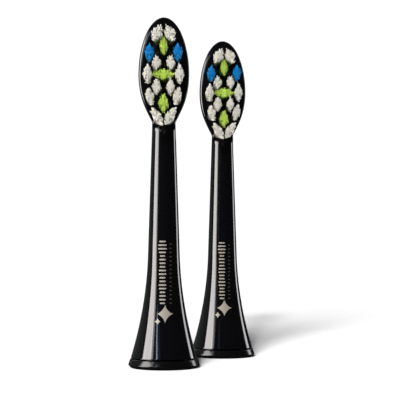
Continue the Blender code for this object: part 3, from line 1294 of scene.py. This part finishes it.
@dataclass
class AnchorWires:
    """The short pieces of flat brass wire that hold the folded tufts in their holes."""

    place: Place
    width: float = 1.84
    height: float = 0.28
    depth: float = 0.9

    def build(self, tufts: list[Tuft]) -> bpy.types.Object:
        """Puts a wire at the bottom of every hole.

        Args:
            tufts: the head's tufts.

        Returns:
            One piece with all the head's wires.
        """
        tree = bpy.data.node_groups.new(self.place.name("anchor_wires"), "GeometryNodeTree")
        sockets = new_interface(
            tree,
            {"Geometry": "NodeSocketGeometry", "Size": "NodeSocketVector",
             "Finish": "NodeSocketMaterial"},
            {"Geometry": "NodeSocketGeometry"},
        )
        build = TreeBuilder(tree)
        given = build.add("NodeGroupInput").outputs
        wire = build.add("GeometryNodeMeshCube", {"Size": given["Size"]}).outputs[0]
        placed = build.add("GeometryNodeInstanceOnPoints", {
            "Points": given["Geometry"], "Instance": wire}).outputs[0]
        real = build.add("GeometryNodeRealizeInstances", {"Geometry": placed}).outputs[0]
        done = build.add("GeometryNodeSetMaterial", {
            "Geometry": real, "Material": given["Finish"]}).outputs[0]
        build.add("NodeGroupOutput", {"Geometry": done})
        spots = bpy.data.meshes.new("anchor_spots")
        sink = self.depth / 2 * MM
        spots.from_pydata([(t.hole.x, t.root - sink, t.hole.z) for t in tufts], [], [])
        spots.materials.append(ANCHOR_BRASS.material())
        piece = bpy.data.objects.new(self.place.name("tuft_anchors"), spots)
        return grown(piece, tree, sockets, {
            "Size": (self.width * MM, self.depth * MM, self.height * MM),
            "Finish": ANCHOR_BRASS.material(),
        })


@dataclass(frozen=True)
class Mark:
    """One printed mark: its middle, its half sizes and the power of its superellipse outline.
    A high power gives a rounded bar, a power below 1 a four-pointed sparkle."""

    x: float
    z: float
    half_x: float
    half_z: float
    power: float


@dataclass
class PrintedMotif:
    """A generic print on the lower neck: a column of sound-wave bars, a finer line of dashes beside
    it and two sparkles below. The ink is a thin film that follows the body.

    beat holds the turns of the bars' two sines in radians along the column, and the second's start.
    """

    place: Place
    body: BrushBody
    bars_low: float = 15.6
    bars_high: float = 30.2
    bar_count: int = 18
    bar_middle: float = -0.3
    bar_reach: float = 1.16
    bar_half_height: float = 0.18
    beat: tuple[float, float, float] = (2.6 * math.pi, 7.1, 0.4)
    dash_middle: float = 1.62
    dash_count: int = 15
    dash_stop: float = 0.6
    dash_half_width: float = 0.26
    dash_half_height: float = 0.13
    bar_power: float = 5.0
    sparkle_power: float = 0.68
    film: float = 0.02
    film_under: float = 0.002
    rings: int = 4
    spokes: int = 40

    def bars(self) -> list[Mark]:
        """The bars of the sound wave, long and short by two beating sines."""
        marks = []
        fast, slow, start = self.beat
        for k in range(self.bar_count):
            share = k / (self.bar_count - 1)
            swell = 0.5 + 0.5 * abs(math.sin(fast * share) * math.cos(slow * share + start))
            height = self.bars_low + share * (self.bars_high - self.bars_low)
            marks.append(Mark(self.bar_middle, height, self.bar_reach * swell,
                              self.bar_half_height, self.bar_power))
        return marks

    def dashes(self) -> list[Mark]:
        """The fine line of dashes beside the bars."""
        heights = np.linspace(self.bars_low, self.bars_high - self.dash_stop, self.dash_count)
        return [Mark(self.dash_middle, z, self.dash_half_width, self.dash_half_height,
                     self.bar_power) for z in heights]

    def sparkles(self) -> list[Mark]:
        """A large four-pointed sparkle and a small one."""
        low, power = self.bars_low, self.sparkle_power
        return [Mark(0.3, low - 2.5, 2.0, 2.2, power), Mark(-1.45, low - 4.3, 0.75, 0.85, power)]

    def patch(self, mark: Mark) -> np.ndarray:
        """A mark laid on the body as a thin closed pill of ink.

        Args:
            mark: the mark.

        Returns:
            The rings from the middle of its upper face over its rim to the middle of its lower.
        """
        turns = np.arange(self.spokes) * 2 * math.pi / self.spokes
        cosine, sine = np.cos(turns), np.sin(turns)
        exponent = 2 / mark.power
        edge_x = np.sign(cosine) * np.abs(cosine) ** exponent * mark.half_x
        edge_z = np.sign(sine) * np.abs(sine) ** exponent * mark.half_z
        shares = [k / self.rings for k in range(self.rings + 1)]
        layers = [(share, self.film) for share in shares]
        layers += [(share, self.film_under) for share in reversed(shares)]
        rings = []
        for share, lift in layers:
            x, z = mark.x + edge_x * share, mark.z + edge_z * share
            radius = np.array([self.body.round_radius(height) for height in z]) + lift
            rings.append(np.c_[x, -np.sqrt(radius**2 - x**2), z])
        return np.array(rings)

    def build(self, name: str, marks: list[Mark], ink: MouldedPlastic) -> bpy.types.Object:
        """Prints marks with one ink.

        Args:
            name: the print's name.
            marks: the marks.
            ink: the ink's finish.

        Returns:
            The piece.
        """
        films = [lofted("film", self.place.points(self.patch(mark))) for mark in marks]
        mesh = smooth(joined("print", films))
        return new_piece(self.place.name(name), mesh, ink.material())


class BrushHead:
    """One complete head, built and settled on its bodies."""

    def __init__(self, side: Side, tree: TuftTree) -> None:
        """Reads the head's place from the frame.

        Args:
            side: which head.
            tree: the nodes that grow its tufts.
        """
        self.place = Place.read(side)
        self.tree = tree
        self.tufts = placed_tufts(self.place)

    def build(self) -> None:
        """Builds every piece of the head and settles it on its body."""
        name = self.place.name
        moulding = BrushBody(self.place)
        settle(moulding.build(self.tufts), name("head"), "black_gloss", name("brush_body"))
        socket = DriveSocket(self.place).build()
        settle(socket, name("head"), "socket_white", name("drive_socket"))
        settle(FootRing(self.place).build(), name("ring"), "black_gloss", name("foot_ring"))
        leaf = LatchSpring(self.place).build()
        settle(leaf, name("latch"), "spring_steel", name("latch_spring"))
        bristles = Bristles(self.place, self.tree)
        for tuft in self.tufts:
            slot = f"bristle_{tuft.row.colour.value}"
            settle(bristles.build(tuft), name("head"), slot, tuft.node)
        settle(AnchorWires(self.place).build(self.tufts), name("head"))
        motif = PrintedMotif(self.place, moulding)
        silver = motif.bars() + motif.sparkles()
        settle(motif.build("print_bars_and_sparkles", silver, INK_SILVER), name("head"))
        settle(motif.build("print_dashes", motif.dashes(), INK_FAINT), name("head"))


# ---------------------------------------------------------------- the studio


def direction(azimuth: float, elevation: float) -> Vector:
    """The unit vector towards a light.

    Args:
        azimuth: degrees to the right of the camera's side.
        elevation: degrees above the horizon.

    Returns:
        The direction.
    """
    turn, rise = math.radians(azimuth), math.radians(elevation)
    return Vector((
        math.sin(turn) * math.cos(rise), -math.cos(turn) * math.cos(rise), math.sin(rise)
    ))


def hung(name: str, lamp: bpy.types.Light, towards: Vector, roll: float = 0.0) -> bpy.types.Object:
    """Hangs a lamp that shines from a direction and isn't seen itself.

    Args:
        name: the light's name.
        lamp: its lamp.
        towards: the unit vector towards it.
        roll: degrees that it is turned in its own plane.

    Returns:
        The light.
    """
    light = bpy.data.objects.new(name, lamp)
    light.rotation_mode = "QUATERNION"
    turn = Quaternion((0, 0, 1), math.radians(roll))
    light.rotation_quaternion = towards.to_track_quat("Z", "Y") @ turn
    light.visible_camera = False
    bpy.context.scene.collection.objects.link(light)
    return light


@dataclass(frozen=True)
class Softbox:
    """A rectangular light round the pair. Azimuth 0 is the camera's side and grows to the right;
    width and height are in degrees as seen from the pair, and radiance is its brightness."""

    name: str
    azimuth: float
    elevation: float
    width: float
    height: float
    radiance: float
    distance: float = 0.7
    roll: float = 0.0
    tint: tuple[float, float, float] = (1.0, 1.0, 1.0)

    def build(self, centre: Vector) -> bpy.types.Object:
        """Hangs the light facing a point.

        Args:
            centre: the point that it faces.

        Returns:
            The light.
        """
        lamp = bpy.data.lights.new(self.name, "AREA")
        lamp.shape = "RECTANGLE"
        lamp.size = 2 * self.distance * math.tan(math.radians(self.width / 2))
        lamp.size_y = 2 * self.distance * math.tan(math.radians(self.height / 2))
        lamp.energy = self.radiance * math.pi * lamp.size * lamp.size_y
        lamp.color = self.tint
        towards = direction(self.azimuth, self.elevation)
        light = hung(self.name, lamp, towards, self.roll)
        light.location = centre + towards * self.distance
        return light


@dataclass(frozen=True)
class DistantLamp:
    """A far round light whose shadows fall everywhere alike and which the gloss doesn't mirror.
    width is its angular size in degrees and power its irradiance in watts a square metre."""

    name: str
    azimuth: float
    elevation: float
    width: float
    power: float
    floor_only: bool = False

    def build(self) -> bpy.types.Object:
        """Hangs the lamp."""
        lamp = bpy.data.lights.new(self.name, "SUN")
        lamp.angle = math.radians(self.width)
        lamp.energy = self.power
        light = hung(self.name, lamp, direction(self.azimuth, self.elevation))
        light.visible_glossy = False
        return light


@dataclass
class Studio:
    """The white surround: softboxes, backdrop, floor and camera. Lengths of the camera are in
    millimetres, and those of the floor are in metres."""

    centre: Vector
    front_head: Place
    softboxes: tuple[Softbox, ...] = (
        Softbox("left_softbox", -68.3, 13.0, 26.0, 42.0, 13.5, roll=-27.0,
                tint=(1.0, 0.965, 0.945)),
        Softbox("left_softbox_edge", -50.5, 13.0, 8.0, 42.0, 5.0, roll=-27.0,
                tint=(1.0, 0.965, 0.945)),
        Softbox("left_haze", -125.0, 15.0, 60.0, 50.0, 0.12, tint=(0.9, 1.0, 0.93)),
        Softbox("back_softbox", -145.0, 42.0, 22.0, 44.0, 2.2),
        Softbox("back_strip", 158.0, 34.0, 10.0, 44.0, 2.2),
        Softbox("right_rim_strip", 119.0, 15.0, 15.0, 40.0, 5.5, tint=(0.96, 0.96, 1.0)),
        Softbox("blue_line", -29.0, 20.5, 2.2, 18.0, 9.5, roll=-45.0, tint=(0.74, 0.87, 1.0)),
        Softbox("blue_glow", -22.5, 22.0, 9.0, 18.0, 0.36, roll=-45.0, tint=(0.3, 0.58, 1.0)),
    )
    distant: tuple[DistantLamp, ...] = (
        DistantLamp("front_key", -8.5, 24.0, 14.0, 3.0),
        DistantLamp("top_fill", 0.0, 80.0, 60.0, 0.25),
        DistantLamp("floor_key", -8.0, 20.0, 4.0, 3.1, floor_only=True),
        DistantLamp("floor_key_low", -14.0, 12.0, 14.0, 2.2, floor_only=True),
        DistantLamp("floor_key_middle", -15.0, 20.0, 14.0, 2.9, floor_only=True),
        DistantLamp("floor_key_high", -15.0, 30.0, 14.0, 2.1, floor_only=True),
    )
    camera_right: float = 2.0
    camera_back: float = 270.0
    camera_height: float = 27.0
    shift_right: float = 0.0695
    shift_up: float = 0.1375
    lens: float = 100.98
    floor_radius: float = 0.9
    floor_drop: float = 0.00005
    floor_grey: float = 0.88
    floor_grain: float = 40.0
    fade_start: float = 0.16
    fade_end: float = 0.5
    seen_white: float = 1.05
    fill_tint: tuple[float, float, float] = (0.9, 0.95, 1.0)
    fill: float = 0.022

    def light(self, floor: bpy.types.Object) -> None:
        """Hangs the lights, each for the floor or for everything else.

        Args:
            floor: the floor.
        """
        receivers = {}
        for name, state in (("only_floor", "INCLUDE"), ("all_but_floor", "EXCLUDE")):
            receivers[name] = bpy.data.collections.new(name)
            receivers[name].objects.link(floor)
            receivers[name].collection_objects[0].light_linking.link_state = state
        for softbox in self.softboxes:
            light = softbox.build(self.centre)
            light.light_linking.receiver_collection = receivers["all_but_floor"]
        for lamp in self.distant:
            light = lamp.build()
            kind = "only_floor" if lamp.floor_only else "all_but_floor"
            light.light_linking.receiver_collection = receivers[kind]

    def backdrop(self) -> None:
        """A surround that is seen white and lights the pair softly."""
        world = bpy.data.worlds.new("studio_surround")
        world.use_nodes = True
        bpy.context.scene.world = world
        build = TreeBuilder(world.node_tree)
        world.node_tree.nodes.clear()
        seen = build.field("ShaderNodeLightPath", "Is Camera Ray")
        dim = build.field("ShaderNodeBackground", 0, {
            "Color": (*self.fill_tint, 1), "Strength": self.fill})
        white = build.field("ShaderNodeBackground", 0, {
            "Color": (1, 1, 1, 1), "Strength": self.seen_white})
        both = build.field("ShaderNodeMixShader", 0, {0: seen, 1: dim, 2: white})
        build.add("ShaderNodeOutputWorld", {"Surface": both})

    def floor(self) -> bpy.types.Object:
        """A pale round floor that fades into the surround and isn't seen from below."""
        bm = bmesh.new()
        bmesh.ops.create_circle(bm, cap_ends=True, segments=96, radius=self.floor_radius)
        mesh = bpy.data.meshes.new("floor")
        bm.to_mesh(mesh)
        bm.free()
        mesh.transform(Matrix.Translation((self.centre.x, self.centre.y, -self.floor_drop)))
        made, build, shader = blank_material("pale_floor")
        place = build.field("ShaderNodeTexCoord", "Object")
        grain = build.field("ShaderNodeTexNoise", "Fac", {
            "Vector": place, "Scale": self.floor_grain})
        rough = build.field("ShaderNodeMapRange", 0, {
            "Value": grain, "To Min": 0.75, "To Max": 0.9})
        build.wire(shader, {
            "Roughness": rough, "Base Color": (*[self.floor_grey] * 3, 1),
            "Specular IOR Level": 0.0})
        away = build.field("ShaderNodeVectorMath", "Value", {0: place}, operation="LENGTH")
        fade = build.field("ShaderNodeMapRange", 0, {
            "Value": away, "From Min": self.fade_start, "From Max": self.fade_end,
            "To Min": 1.0, "To Max": 0.0}, interpolation_type="SMOOTHSTEP")
        above = build.field("ShaderNodeNewGeometry", "Backfacing") * -1.0 + 1.0
        clear = build.field("ShaderNodeBsdfTransparent")
        mixed = build.field("ShaderNodeMixShader", 0, {
            0: fade * above, 1: clear, 2: shader.outputs[0]})
        build.wire(made.node_tree.nodes["Material Output"], {"Surface": mixed})
        floor = new_piece("studio_floor", mesh, made)
        floor.visible_glossy = False
        return floor

    def camera(self) -> None:
        """The camera, level and low in front of the front head, its frame shifted onto the pair."""
        data = bpy.data.cameras.new("camera")
        data.sensor_width = 36.0
        data.lens = self.lens
        camera = bpy.data.objects.new("camera", data)
        offset = Vector((self.camera_right, -self.camera_back, self.camera_height)) * MM
        camera.location = self.front_head.axis + offset
        camera.rotation_euler = (math.radians(90), 0, 0)
        data.shift_x, data.shift_y = self.shift_right, self.shift_up
        data.clip_start, data.clip_end = 0.01, 20.0
        bpy.context.scene.collection.objects.link(camera)
        bpy.context.scene.camera = camera

    def build(self) -> None:
        """Sets up the whole studio."""
        bpy.context.scene.view_settings.view_transform = "Standard"
        self.light(self.floor())
        self.backdrop()
        self.camera()


def main() -> None:
    """Builds the studio and both heads."""
    logging.basicConfig(level=logging.INFO, format="%(message)s")
    low, high = cad_box
    Studio(centre=(low + high) / 2, front_head=Place.read(Side.LEFT)).build()
    tree = TuftTree()
    for side in Side:
        BrushHead(side, tree).build()


if __name__ == "__main__":
    main()
